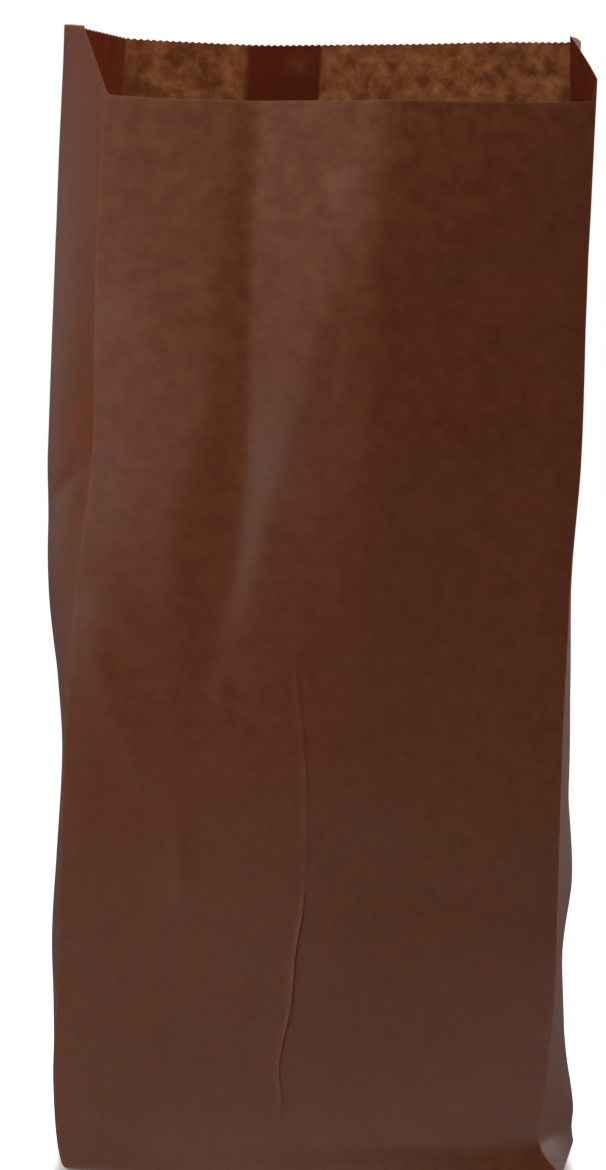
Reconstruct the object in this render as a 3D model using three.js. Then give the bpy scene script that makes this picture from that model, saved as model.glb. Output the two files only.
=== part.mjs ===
// Brown kraft paper bottle bag, opened and standing on its base.
// One sheet makes all of it: a tube with a pleated gusset in each side, lapped and pasted down the back,
// and closed by a pasted flap under the base. The front is cut lower than the serrated back.
// Millimetres, +Z up. The front faces -Y, and the origin is the middle of the base, on the standing surface.
import * as THREE from "three";
import { mergeVertices } from "three/addons/utils/BufferGeometryUtils.js";

// Driving dimensions of the sheet
const FACE_WIDTH = 150; // front panel and back panel, fold to fold
const GUSSET_WIDTH = 75; // each side gusset, laid flat
const BAG_HEIGHT = 350; // standing surface to the serrated edge of the back
const LIP = 28; // how much lower the front is cut; the flap under the base is as long
const LIP_SAG = 1.5; // the front's cut hangs this much lower between its folds, where the paper is drawn in
const SAG_ENDS = 4; // the higher, the nearer to the folds the cut comes back up
const LEFT_SLANT = 21; // front fold to the place where the lip's slanted end meets the serrated edge
const RIGHT_SLANT = 37;
const SLANT_START = 1.6; // the lip's ends begin to climb this far inside the front folds
const LEFT_FOLD_CLIMB = 1.5; // the cut's climb above the lip at the left-hand front fold
const RIGHT_FOLD_CLIMB = 6.5; // the same at the right-hand one
const RIGHT_TIP_DROP = 3.5; // the serrated edge's fall below the full height, where the right slant ends
const BACK_LEFT_DROP = 1.6; // the same at the left-hand fold of the back
const LEFT_FOLD_DROP = 2.4; // at the centre fold of the left gusset
const LEFT_TIP_DROP = 4.6; // where the left slant ends
const PAPER = 0.12; // one layer
const LAP_WIDTH = 22.5; // pasted overlap that closes the tube
const LAP_PLACE = 22; // middle of the back to the middle of the lap, towards the left gusset
const TOOTH_PITCH = 2.1; // serrated cut
const TOOTH_DEPTH = 0.5;
const TUCK_SETBACK = 0.6; // the tucked-in triangles of the gussets stay this far inside the base's edge
const FLAP_SETBACK = 1.5; // the flap's ends stay this far inside the base's edge
const FLAP_FOLD = -4; // the flap is folded over a little in front of the base's middle

// How the opened bag stands: points of [share of the height, value], the lowest first
const LEAN = [
  [0, 5.2], [0.025, 0.7], [0.08, 0.4], [0.15, 1.6], [0.23, 2], [0.37, 3], [0.45, 4],
  [0.52, 5.4], [0.61, 8.2], [0.75, 8.7], [1, 11.5],
]; // mm
const FRONT_DRAW_IN = [
  [0, 0.4], [0.025, 5.4], [0.08, 2.7], [0.15, 1.7], [0.2, 1.2], [0.45, 2.2], [0.52, 3],
  [0.62, 4], [0.75, 3.2], [1, 3.4],
]; // mm, width lost to the bowing of the panel
const BACK_DRAW_IN = [[0, 8], [0.04, 4.7], [0.08, 2.7], [0.15, 1.5], [1, 1.5]]; // mm
const BACK_SHIFT = [[0, 0], [0.6, 0], [1, 1.2]]; // mm, sideways, against the front
const LEFT_SWING = [
  [0, -3], [0.06, 0], [0.13, 6], [0.18, 8], [0.26, 6], [0.35, 4.2], [0.41, 10], [0.48, 17],
  [0.55, 22], [0.61, 26.4], [0.75, 24.8], [1, 26.5],
]; // degrees, outwards at the gusset's centre fold
const RIGHT_SWING = [
  [0, 10], [0.03, 20.8], [0.08, 14.8], [0.11, 12.1], [0.175, 9.2], [0.24, 12.4], [0.33, 8.5],
  [0.42, 6.9], [0.5, 3], [0.6, 0.2], [0.72, 0], [1, -8],
]; // degrees
const BASE_RADII = [3, 2, 1.5, 4, 7, 7]; // the turn from wall to base, at the six folds in order
const BACK_BOW = 14; // outwards at the mouth
const BOW_PLACE = 64; // left fold to the deepest place of the bow
const BOW_FOOT = 100; // height at which the bow has run out
const BOW_GROWTH = 1.6; // above 1, the bow opens mostly near the mouth
const GUSSET_BOW = 1.2; // soft belly of each gusset half
const FOOT_BOW = 3; // the front's foot bulges forwards between its corners
const FOOT_BOW_ENDS = 4; // the higher, the nearer to the corners the bulge runs out
const FOOT_BOW_TOP = 60; // height at which the bulge has run out

// Fold lines that break the upper front, from left to right, with nearly straight paper between them.
// Points of [height, left fold to line] and of [height, rise]; a positive rise is outwards.
const FRONT_LINES = [
  {
    across: [
      [135, 32], [156, 31.5], [176, 30.5], [196, 28.5], [216, 33],
      [231, 35.5], [261, 36], [286, 37.5], [322, 41.5],
    ],
    rise: [[60, 0], [135, 1.4], [201, 3], [231, 3], [261, 2.6], [291, 2], [322, 1.6]],
  },
  {
    across: [[135, 42.5], [166, 44], [176, 47], [201, 47], [261, 46.5], [322, 46]],
    rise: [[60, 0], [135, 0.9], [171, 0.4], [201, 1.2], [231, 1.7], [261, 1.4], [291, 1.1], [322, 1]],
  },
  {
    across: [[135, 49], [171, 53], [201, 57], [231, 64], [261, 73], [291, 84], [322, 88]],
    rise: [[60, 0], [135, 1.2], [171, 2], [201, 3.6], [231, 5.1], [261, 6.2], [291, 7.8], [322, 9.2]],
  },
  {
    across: [[135, 88], [201, 85.5], [261, 86], [291, 88], [322, 91]],
    rise: [
      [60, 0], [110, 0.9], [145, 2], [180, 4.4], [201, 5.6], [215, 6.1],
      [231, 6.2], [246, 6.3], [262, 6.5], [270, 6.9], [291, 8], [322, 9.5],
    ],
  },
];
const LINE_ROUND = 2.5; // how softly the paper turns at such a line

// Broad soft folds of the panels, from upper end to lower end. Places are [left fold to fold line, height].
const FRONT_FOLDS = [
  { top: [118, 190], foot: [104, 60], width: 26, rise: -2 },
  { top: [30, 120], foot: [34, 40], width: 24, rise: -1 },
];
const BACK_FOLDS = [
  { top: [104, 350], foot: [92, 120], width: 18, rise: 3 },
  { top: [28, 350], foot: [34, 170], width: 14, rise: -2 },
  { top: [76, 200], foot: [58, 50], width: 24, rise: 2.4 },
];
const FOLD_FADE = 45; // height over which the end of a broad fold runs out
const FOLD_OVERRUN = 0.5; // share of its length by which a broad fold's line runs on past each end
const FOLD_MARGIN = 18; // beside a panel's straight folds, where its broad folds die away

// The sharp crease up the lower front, a pinched ridge: points of [height, left fold to crease]
const CREASE = [
  [8, 69.6], [24, 69.4], [33, 68.4], [51, 70.8], [66, 71.6], [81, 73.6], [111, 73.5], [129, 72],
  [159, 67.8], [190, 70],
];
const CREASE_RISE = [
  [8, 0], [22, 0.35], [33, 0.65], [70, 0.7], [80, 0.6], [90, 0.3], [111, 0.32], [129, 0.2],
  [150, 0.15], [159, 0],
]; // of [height, rise]
const CREASE_LEFT_FLANK = 1.4; // width of the ridge to the left of its top
const CREASE_RIGHT_FLANK = 0.6;
const CREASE_REACH = 15; // the paper's grid is drawn towards the crease from this far off

// Fineness of the surface
const FACE_CELLS = 30;
const HALF_GUSSET_CELLS = 5;
const WALL_ROWS = 22;
const TURN_ROWS = 3;
const RIM_STRIP = 3.5; // plain strip below the serrated cut
const LEAST_CELL = 1.2;

const KRAFT_BROWN = "#5d3829";
const KRAFT_ROUGHNESS = 0.72;

const HALF_GUSSET = GUSSET_WIDTH / 2;
const GIRTH = 2 * FACE_WIDTH + 2 * GUSSET_WIDTH;
const BACK_FROM = FACE_WIDTH + GUSSET_WIDTH; // right-hand fold of the back, measured around the bag
const FLOOR_OF_BASE = PAPER; // the base lies on its flap, which is one layer
const NUDGE = 0.01; // step for the surface's slopes
const WELD = 1e-3; // points closer than this are one point
const SHARPEST_FOLD = 0.3; // least cosine of half a fold's turn for which a layer keeps its thickness

// Value of a smooth curve through [place, value] points, level beyond its ends.
function along(points, at) {
  const last = points.length - 1;
  if (at <= points[0][0]) return points[0][1];
  if (at >= points[last][0]) return points[last][1];
  const i = points.findIndex((point) => point[0] > at) - 1;
  const slope = (k) => {
    const before = points[Math.max(k - 1, 0)];
    const after = points[Math.min(k + 1, last)];
    return (after[1] - before[1]) / (after[0] - before[0]);
  };
  const run = points[i + 1][0] - points[i][0];
  const t = (at - points[i][0]) / run;
  const rise = points[i + 1][1] - points[i][1];
  const a = slope(i) * run - rise;
  const b = rise - slope(i + 1) * run;
  return points[i][1] + rise * t + t * (1 - t) * (a * (1 - t) + b * t);
}

// The six folds in plan at a height, anticlockwise from the front left: [x, y] each.
function foldsAt(height) {
  const share = height / BAG_HEIGHT;
  const left = THREE.MathUtils.degToRad(along(LEFT_SWING, share));
  const right = THREE.MathUtils.degToRad(along(RIGHT_SWING, share));
  const lean = along(LEAN, share);
  const halfFront = (FACE_WIDTH - along(FRONT_DRAW_IN, share)) / 2;
  const halfBack = (FACE_WIDTH - along(BACK_DRAW_IN, share)) / 2;
  const shift = along(BACK_SHIFT, share);
  return [
    [lean - halfFront, -HALF_GUSSET * Math.cos(left)],
    [lean + halfFront, -HALF_GUSSET * Math.cos(right)],
    [lean + halfFront + HALF_GUSSET * Math.sin(right), 0],
    [lean + halfBack + shift, HALF_GUSSET * Math.cos(right)],
    [lean - halfBack + shift, HALF_GUSSET * Math.cos(left)],
    [lean - halfFront - HALF_GUSSET * Math.sin(left), 0],
  ];
}

// Rise of the front where its fold lines break it, 0 at its edges.
function brokenRise(across, height) {
  const lines = FRONT_LINES.map((line) => [along(line.across, height), along(line.rise, height)]);
  const corners = [[0, 0], ...lines, [FACE_WIDTH, 0]];
  const slopes = lines.map(([x, y], i) => (y - corners[i][1]) / (x - corners[i][0]));
  slopes.push(-corners.at(-2)[1] / (FACE_WIDTH - corners.at(-2)[0]));
  const roundedTurn = (past) => (past + Math.hypot(past, LINE_ROUND)) / 2;
  const riseAt = (spot) => {
    const turns = lines.map(([x], i) => (slopes[i + 1] - slopes[i]) * roundedTurn(spot - x));
    return turns.reduce((sum, turn) => sum + turn, slopes[0] * spot);
  };
  return riseAt(across) - THREE.MathUtils.lerp(riseAt(0), riseAt(FACE_WIDTH), across / FACE_WIDTH);
}

// Sum of the broad folds at a place on a panel, positive outwards.
function foldRise(folds, across, height) {
  let sum = 0;
  for (const { top, foot, width, rise } of folds) {
    const share = (height - foot[1]) / (top[1] - foot[1]);
    const line = foot[0] + (top[0] - foot[0]) * THREE.MathUtils.clamp(share, -FOLD_OVERRUN, 1 + FOLD_OVERRUN);
    const fade =
      THREE.MathUtils.smoothstep(height, foot[1] - FOLD_FADE, foot[1] + FOLD_FADE) *
      (1 - THREE.MathUtils.smoothstep(height, top[1], top[1] + 2 * FOLD_FADE));
    sum += rise * fade * Math.exp(-(((across - line) / width) ** 2));
  }
  return sum;
}

// The bow across the back, 0 at both folds and 1 at its deepest place, which runs out towards the base.
function bow(across, height) {
  const bend = Math.log(0.5) / Math.log(BOW_PLACE / FACE_WIDTH);
  const share = THREE.MathUtils.clamp(across / FACE_WIDTH, 0, 1);
  const run = Math.max(0, (height - BOW_FOOT) / (BAG_HEIGHT - BOW_FOOT));
  return Math.sin(Math.PI * share ** bend) * run ** BOW_GROWTH;
}

// Keeps a panel's folds straight: 0 at its edges, 1 from one soft margin inwards.
function heldAtFolds(across, width) {
  return THREE.MathUtils.smoothstep(Math.min(across, width - across), 0, FOLD_MARGIN);
}

const CREASE_COLUMN = Math.round((CREASE[0][1] / FACE_WIDTH) * FACE_CELLS) * (FACE_WIDTH / FACE_CELLS);

// How the front's grid slides so that one of its lines runs along the crease.
function creaseSlide(across, height) {
  const pull = Math.max(0, 1 - Math.abs(across - CREASE_COLUMN) / CREASE_REACH);
  return (along(CREASE, height) - CREASE_COLUMN) * pull;
}

function creaseRidge(across, height) {
  const off = across - CREASE_COLUMN;
  const flank = off < 0 ? CREASE_LEFT_FLANK : CREASE_RIGHT_FLANK;
  return along(CREASE_RISE, height) * Math.max(0, 1 - Math.abs(off) / flank);
}

function footBulge(across, height) {
  const left = Math.max(0, 1 - height / FOOT_BOW_TOP);
  const off = Math.min(1, Math.abs((2 * across) / FACE_WIDTH - 1));
  return FOOT_BOW * left ** 2 * (1 - off ** FOOT_BOW_ENDS);
}

// The panels in order around the bag, each with its width and its shape off the flat.
const PANELS = [
  {
    width: FACE_WIDTH,
    slide: creaseSlide,
    rise: (across, height) =>
      brokenRise(across, height) +
      footBulge(across, height) +
      heldAtFolds(across, FACE_WIDTH) * foldRise(FRONT_FOLDS, across, height) +
      creaseRidge(across, height),
  },
  { width: HALF_GUSSET, rise: gussetBelly },
  { width: HALF_GUSSET, rise: gussetBelly },
  {
    width: FACE_WIDTH,
    rise: (across, height) =>
      BACK_BOW * bow(FACE_WIDTH - across, height) +
      heldAtFolds(across, FACE_WIDTH) * foldRise(BACK_FOLDS, across, height),
  },
  { width: HALF_GUSSET, rise: gussetBelly },
  { width: HALF_GUSSET, rise: gussetBelly },
];

function gussetBelly(across, height) {
  const up = Math.sin(Math.PI * THREE.MathUtils.clamp(height / BAG_HEIGHT, 0, 1));
  return GUSSET_BOW * up * Math.sin((Math.PI * across) / HALF_GUSSET);
}

// Which panel a place around the bag is on, and how far it is from that panel's first fold.
function panelAt(around) {
  let across = ((around % GIRTH) + GIRTH) % GIRTH;
  let panel = 0;
  while (across >= PANELS[panel].width) {
    across -= PANELS[panel].width;
    panel += 1;
  }
  return { panel, next: (panel + 1) % PANELS.length, across };
}

// Outer surface of the sheet: around is measured from the front left fold, anticlockwise seen from above.
function place(around, height) {
  const { panel, next, across } = panelAt(around);
  const { width, rise, slide } = PANELS[panel];
  const folds = foldsAt(height);
  const from = new THREE.Vector2(...folds[panel]);
  const line = new THREE.Vector2(...folds[next]).sub(from);
  const outwards = new THREE.Vector2(line.y, -line.x).normalize();
  const slid = slide ? across + slide(across, height) : across;
  const spot = from.addScaledVector(line, slid / width).addScaledVector(outwards, rise(across, height));
  return new THREE.Vector3(spot.x, spot.y, height);
}

// Outward direction across a fold or a plain place, long enough to keep a layer's thickness at a fold.
function outwardAt(around, height) {
  const up = place(around, height + NUDGE).sub(place(around, Math.max(height - NUDGE, 0)));
  const here = place(around, height);
  const before = here.clone().sub(place(around - NUDGE, height)).cross(up).normalize();
  const after = place(around + NUDGE, height).sub(here).cross(up).normalize();
  const middle = before.clone().add(after).normalize();
  return middle.divideScalar(Math.max(middle.dot(after), SHARPEST_FOLD));
}

function baseRadius(around) {
  const { panel, next, across } = panelAt(around);
  return THREE.MathUtils.lerp(BASE_RADII[panel], BASE_RADII[next], across / PANELS[panel].width);
}

// Inward direction in plan at each fold of the base, long enough to draw both of its edges in by 1.
const BASE_INWARDS = foldsAt(0).map((fold, i, folds) => {
  const here = new THREE.Vector2(...fold);
  const before = here.clone().sub(new THREE.Vector2(...folds.at(i - 1))).normalize();
  const after = new THREE.Vector2(...folds[(i + 1) % folds.length]).sub(here).normalize();
  const middle = before.clone().add(after).normalize();
  return new THREE.Vector2(-middle.y, middle.x).divideScalar(middle.dot(after));
});

// A point of the turn from base to wall: turn is 0 on the base and a right angle on the wall.
function turnPoint(around, turn, depth) {
  const radius = baseRadius(around);
  const { panel, next, across } = panelAt(around);
  const inwards = BASE_INWARDS[panel].clone().lerp(BASE_INWARDS[next], across / PANELS[panel].width);
  inwards.multiplyScalar(radius - (radius - depth) * Math.sin(turn));
  const spot = place(around, radius * (1 - Math.cos(turn)));
  const height = FLOOR_OF_BASE + radius - (radius - depth) * Math.cos(turn);
  return new THREE.Vector3(spot.x + inwards.x, spot.y + inwards.y, height);
}

function wallPoint(around, height, depth) {
  const spot = place(around, height).addScaledVector(outwardAt(around, height), -depth);
  return spot.setZ(height + FLOOR_OF_BASE);
}

const TOOTHED_FROM = FACE_WIDTH + RIGHT_SLANT;
const TOOTHED_TO = GIRTH - LEFT_SLANT;

// The serrated edge isn't quite square with the bag: [place around, fall below the full height].
const SERRATED_DROP = [
  [TOOTHED_FROM, RIGHT_TIP_DROP],
  [BACK_FROM, 0],
  [BACK_FROM + FACE_WIDTH, BACK_LEFT_DROP],
  [GIRTH - HALF_GUSSET, LEFT_FOLD_DROP],
  [TOOTHED_TO, LEFT_TIP_DROP],
];

// How far the cut has climbed from the lip (0) to the serrated edge (1), past a front fold or just before it.
function climbPast(past, foldClimb, slant, tipDrop) {
  const atFold = foldClimb / (LIP - tipDrop);
  const climb = past < 0 ? atFold * (1 + past / SLANT_START) : atFold + ((1 - atFold) * past) / slant;
  return THREE.MathUtils.clamp(climb, 0, 1);
}

// Height of the cut around the mouth, without its teeth.
function cutHeight(around) {
  const onwards = around < FACE_WIDTH / 2 ? around + GIRTH : around; // from the front's middle to itself
  const right = climbPast(onwards - FACE_WIDTH, RIGHT_FOLD_CLIMB, RIGHT_SLANT, RIGHT_TIP_DROP);
  const left = climbPast(GIRTH - onwards, LEFT_FOLD_CLIMB, LEFT_SLANT, LEFT_TIP_DROP);
  const off = Math.min(1, Math.abs((2 * (onwards % GIRTH)) / FACE_WIDTH - 1));
  const lip = LIP + LIP_SAG * (1 - off ** SAG_ENDS);
  const drop = THREE.MathUtils.lerp(lip, along(SERRATED_DROP, onwards), Math.min(left, right));
  return BAG_HEIGHT - FLOOR_OF_BASE - drop;
}

const TEETH = Math.round((TOOTHED_TO - TOOTHED_FROM) / TOOTH_PITCH);

function toothDip(around) {
  if (around <= TOOTHED_FROM || around >= TOOTHED_TO) return 0;
  const phase = (((around - TOOTHED_FROM) / (TOOTHED_TO - TOOTHED_FROM)) * TEETH) % 1;
  return TOOTH_DEPTH * (1 - Math.abs(2 * phase - 1));
}

// Where the lap lies on the back, measured around the bag. Its inner edge is the one nearer the right gusset.
const LAP_FROM = BACK_FROM + FACE_WIDTH / 2 + LAP_PLACE - LAP_WIDTH / 2;
const LAP_TO = LAP_FROM + LAP_WIDTH;

// Depth of the outer and inner face below the sheet's outer surface. Past the lap, the inner layer comes back
// out to the surface by the left gusset.
function layers(around, pastLap) {
  const inside = pastLap ? around > LAP_FROM - NUDGE / 2 : around > LAP_FROM + NUDGE / 2;
  if (!inside || around < BACK_FROM || around > BACK_FROM + FACE_WIDTH) return [0, PAPER];
  const past = pastLap ? around > LAP_TO - NUDGE / 2 : around > LAP_TO + NUDGE / 2;
  const left = BACK_FROM + FACE_WIDTH;
  const back = THREE.MathUtils.clamp((left - around) / (left - LAP_TO), 0, 1);
  return past ? [PAPER * back, PAPER * (1 + back)] : [0, 2 * PAPER];
}

// Columns of the grid around the bag, with a pair at each edge of the lap.
function makeColumns() {
  const marks = [SLANT_START, FACE_WIDTH - SLANT_START, TOOTHED_FROM, LAP_FROM, LAP_TO, TOOTHED_TO];
  marks.push(CREASE_COLUMN - CREASE_LEFT_FLANK, CREASE_COLUMN, CREASE_COLUMN + CREASE_RIGHT_FLANK);
  const spots = [];
  let start = 0;
  for (const { width } of PANELS) {
    const cells = width === FACE_WIDTH ? FACE_CELLS : HALF_GUSSET_CELLS;
    for (let i = 0; i < cells; i++) {
      const spot = start + (width * i) / cells;
      if (i === 0 || marks.every((mark) => Math.abs(mark - spot) > LEAST_CELL)) spots.push(spot);
    }
    start += width;
  }
  const all = [...spots, ...marks].sort((a, b) => a - b);
  const columns = [];
  for (const around of all) {
    columns.push({ around, depths: layers(around, false) });
    if (around === LAP_FROM || around === LAP_TO) columns.push({ around, depths: layers(around, true) });
  }
  return columns;
}

// Points of the serrated and plain cut around the mouth, with every column among them.
function makeRim(columns) {
  const rim = columns.map((column) => ({ ...column }));
  for (let i = 1; i < 2 * TEETH; i++) {
    const around = TOOTHED_FROM + ((TOOTHED_TO - TOOTHED_FROM) * i) / (2 * TEETH);
    if (columns.every((column) => Math.abs(column.around - around) > NUDGE)) {
      rim.push({ around, depths: layers(around, true) });
    }
  }
  return rim.sort((a, b) => a.around - b.around);
}

// Triangles between two rows of points that run the same way, each point with its place along the row.
function zip(lower, upper, add) {
  let i = 0;
  let j = 0;
  while (i < lower.length - 1 || j < upper.length - 1) {
    const stepLower = j === upper.length - 1 || (i < lower.length - 1 && lower[i + 1].at <= upper[j + 1].at);
    if (stepLower) {
      add(lower[i].spot, lower[i + 1].spot, upper[j].spot);
      i += 1;
    } else {
      add(lower[i].spot, upper[j + 1].spot, upper[j].spot);
      j += 1;
    }
  }
}

// One face of the sheet, outer (side 0) or inner (side 1): rows of points from the base's edge to the mouth.
function makeRows(columns, rim, side) {
  const row = (points, make) => {
    const line = points.map(({ around, depths }) => ({ at: around, spot: make(around, depths[side]) }));
    return [...line, { at: GIRTH, spot: line[0].spot }];
  };
  const rows = [row(columns, (around) => turnPoint(around, 0, side * PAPER))];
  for (let k = 1; k < TURN_ROWS; k++) {
    const turn = ((Math.PI / 2) * k) / TURN_ROWS;
    rows.push(row(columns, (around, depth) => turnPoint(around, turn, depth)));
  }
  for (let k = 0; k <= WALL_ROWS; k++) {
    const wall = (around, depth) => {
      const foot = baseRadius(around);
      const top = cutHeight(around) - RIM_STRIP;
      return wallPoint(around, foot + ((top - foot) * k) / WALL_ROWS, depth);
    };
    rows.push(row(columns, wall));
  }
  rows.push(row(rim, (around, depth) => wallPoint(around, cutHeight(around) - toothDip(around), depth)));
  return rows;
}

// A closed ring of points, each with its angle around the middle of a smaller ring inside it.
function byAngle(spots, middle) {
  const ring = spots.map((spot) => ({ at: Math.atan2(spot.y - middle.y, spot.x - middle.x), spot }));
  const least = ring.reduce((best, point, i) => (point.at < ring[best].at ? i : best), 0);
  const turned = [...ring.slice(least), ...ring.slice(0, least)];
  return [...turned, { at: turned[0].at + 2 * Math.PI, spot: turned[0].spot }];
}

// Paper pasted on a flat face: the face around it, the edge of the paper and the paper's own far face.
// The surround and the corners run anticlockwise, and the far face has 3 or 4 corners.
function addPasted(surround, corners, near, far, add) {
  const sum = corners.reduce((total, corner) => total.add(corner), new THREE.Vector2());
  const middle = sum.divideScalar(corners.length);
  const ringAt = (height) => corners.map(({ x, y }) => new THREE.Vector3(x, y, height));
  const top = ringAt(far);
  zip(byAngle(surround, middle), byAngle(ringAt(near), middle), add);
  zip(byAngle(ringAt(near), middle), byAngle(top, middle), add);
  for (let i = 2; i < top.length; i++) add(top[0], top[i - 1], top[i]);
}

// Plan corners of the flap: the front's extra length at the bottom, pasted under the base.
function flapCorners(foldSpots) {
  const from = foldSpots[0].x + FLAP_SETBACK;
  const to = foldSpots[1].x - FLAP_SETBACK;
  return [
    new THREE.Vector2(from, FLAP_FOLD),
    new THREE.Vector2(to, FLAP_FOLD),
    new THREE.Vector2(to, FLAP_FOLD + LIP),
    new THREE.Vector2(from, FLAP_FOLD + LIP),
  ];
}

// Plan corners of a tuck: the foot of a gusset, folded in flat on the base as a double triangle.
function tuckCorners(front, back, inwards) {
  const edge = inwards * TUCK_SETBACK;
  const corners = [
    new THREE.Vector2(front.x + edge, front.y + 2 * TUCK_SETBACK),
    new THREE.Vector2(front.x + inwards * HALF_GUSSET, (front.y + back.y) / 2),
    new THREE.Vector2(back.x + edge, back.y - 2 * TUCK_SETBACK),
  ];
  return inwards > 0 ? corners : corners.reverse();
}

// The base: its underside with the flap, and its inside with a tuck at each end.
function closeBase(outerRing, innerRing, facingOut, facingIn) {
  const foldPlaces = [0, FACE_WIDTH, BACK_FROM, BACK_FROM + FACE_WIDTH];
  const nearest = (ring, around) => {
    const gaps = ring.map((point) => Math.abs(point.at - around));
    return gaps.indexOf(Math.min(...gaps));
  };
  const spotsOf = (ring) => ring.slice(0, -1).map((point) => point.spot);
  const foldSpots = foldPlaces.map((around) => innerRing[nearest(innerRing, around)].spot);
  addPasted(spotsOf(outerRing), flapCorners(foldSpots), FLOOR_OF_BASE, 0, facingIn);

  const frontMiddle = nearest(innerRing, FACE_WIDTH / 2);
  const backMiddle = nearest(innerRing, BACK_FROM + FACE_WIDTH / 2);
  const inside = spotsOf(innerRing);
  const rightHalf = inside.slice(frontMiddle, backMiddle + 1);
  const leftHalf = [...inside.slice(backMiddle), ...inside.slice(0, frontMiddle + 1)];
  const near = FLOOR_OF_BASE + PAPER;
  const far = near + 2 * PAPER;
  addPasted(rightHalf, tuckCorners(foldSpots[1], foldSpots[2], -1), near, far, facingOut);
  addPasted(leftHalf, tuckCorners(foldSpots[0], foldSpots[3], 1), near, far, facingOut);
}

// The sheet as one closed surface, with the faces that shrank to nothing left out.
function makeSheet() {
  const columns = makeColumns();
  const rim = makeRim(columns);
  const outer = makeRows(columns, rim, 0);
  const inner = makeRows(columns, rim, 1);
  const spots = [];
  const facingOut = (a, b, c) => spots.push(a, b, c);
  const facingIn = (a, b, c) => spots.push(a, c, b);
  for (let k = 0; k < outer.length - 1; k++) {
    zip(outer[k], outer[k + 1], facingOut);
    zip(inner[k], inner[k + 1], facingIn);
  }
  zip(outer.at(-1), inner.at(-1), facingOut);
  closeBase(outer[0], inner[0], facingOut, facingIn);

  const geometry = mergeVertices(new THREE.BufferGeometry().setFromPoints(spots), WELD);
  const corners = geometry.index.array;
  const kept = [];
  for (let i = 0; i < corners.length; i += 3) {
    const [a, b, c] = corners.slice(i, i + 3);
    if (a !== b && b !== c && a !== c) kept.push(a, b, c);
  }
  geometry.setIndex(kept);
  geometry.computeVertexNormals();
  return geometry;
}

const kraft = new THREE.MeshStandardMaterial({
  color: KRAFT_BROWN,
  roughness: KRAFT_ROUGHNESS,
  metalness: 0,
});
const bag = new THREE.Mesh(makeSheet(), kraft);
bag.name = "paper_bag";

const bottleBag = new THREE.Group();
bottleBag.add(bag);

export default bottleBag;
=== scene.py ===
"""Looks of the brown kraft bottle bag: its folded sheet, the paper's finish and a plain white stage."""
import math

import bmesh
import bpy
import numpy as np
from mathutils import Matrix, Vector


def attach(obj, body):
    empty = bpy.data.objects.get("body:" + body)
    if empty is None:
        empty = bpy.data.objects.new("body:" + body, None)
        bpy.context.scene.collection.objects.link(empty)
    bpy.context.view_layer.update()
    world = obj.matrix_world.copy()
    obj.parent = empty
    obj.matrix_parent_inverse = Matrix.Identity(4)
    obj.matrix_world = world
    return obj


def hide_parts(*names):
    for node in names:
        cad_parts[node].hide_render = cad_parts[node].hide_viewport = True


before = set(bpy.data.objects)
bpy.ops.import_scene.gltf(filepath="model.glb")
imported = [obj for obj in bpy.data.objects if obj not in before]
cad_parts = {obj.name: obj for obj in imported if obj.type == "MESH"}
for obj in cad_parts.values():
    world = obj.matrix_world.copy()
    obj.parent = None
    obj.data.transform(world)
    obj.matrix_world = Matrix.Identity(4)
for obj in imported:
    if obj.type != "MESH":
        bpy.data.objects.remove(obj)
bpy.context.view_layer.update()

MM = 0.001  # the sizes below are in millimetres, and the scene is in metres

# The sheet, as it was cut and folded
FACE_WIDTH = 150.0  # front panel and back panel, fold to fold
GUSSET_WIDTH = 75.0  # each side gusset, laid flat
BAG_HEIGHT = 350.0  # standing surface to the serrated edge of the back
LIP = 28.0  # how much lower the front is cut; the flap under the base is as long
LIP_SAG = 1.5  # the front's cut hangs this much lower between its folds
SAG_ENDS = 4  # the higher, the nearer to the folds the cut comes back up
LEFT_SLANT = 21.0  # front fold to the place where the lip's slanted end meets the serrated edge
RIGHT_SLANT = 37.0
SLANT_START = 1.6  # the lip's ends begin to climb this far inside the front folds
LEFT_FOLD_CLIMB = 1.5  # the cut's climb above the lip at the left-hand front fold
RIGHT_FOLD_CLIMB = 6.5  # the same at the right-hand one
RIGHT_TIP_DROP = 3.5  # the serrated edge's fall below the full height, where the right slant ends
BACK_LEFT_DROP = 1.6  # the same at the left-hand fold of the back
LEFT_FOLD_DROP = 2.4  # at the centre fold of the left gusset
LEFT_TIP_DROP = 4.6  # where the left slant ends
PAPER = 0.12  # one layer
LAP_WIDTH = 22.5  # pasted overlap that closes the tube
LAP_PLACE = 22.0  # middle of the back to the middle of the lap, towards the left gusset
TOOTH_PITCH = 2.1  # serrated cut
TOOTH_DEPTH = 0.5
TUCK_SETBACK = 0.6  # the tucked-in triangles of the gussets stay this far inside the base's edge
FLAP_SETBACK = 1.5  # the flap's ends stay this far inside the base's edge
FLAP_FOLD = -4.0  # the flap is folded over a little in front of the base's middle

# How the opened bag stands: points of (share of the height, value), in millimetres or in degrees of swing
LEAN = [  # sideways
    (0, 5.2), (0.025, 0.7), (0.08, 0.4), (0.15, 1.6), (0.23, 2), (0.37, 3), (0.45, 4),
    (0.52, 5.4), (0.61, 8.2), (0.75, 8.7), (1, 11.5),
]
FRONT_DRAW_IN = [  # width lost to the bowing of the panel
    (0, 0.4), (0.025, 5.4), (0.08, 2.7), (0.15, 1.7), (0.2, 1.2), (0.45, 2.2), (0.52, 3),
    (0.62, 4), (0.75, 3.2), (1, 3.4),
]
BACK_DRAW_IN = [(0, 8), (0.04, 4.7), (0.08, 2.7), (0.15, 1.5), (1, 1.5)]
BACK_SHIFT = [(0, 0), (0.6, 0), (1, 1.2)]  # sideways, against the front
LEFT_SWING = [  # outwards at the gusset's centre fold
    (0, -3), (0.06, 0), (0.13, 6), (0.18, 8), (0.26, 6), (0.35, 4.2), (0.41, 10), (0.48, 17),
    (0.55, 22), (0.61, 26.4), (0.75, 24.8), (1, 26.5),
]
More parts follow.
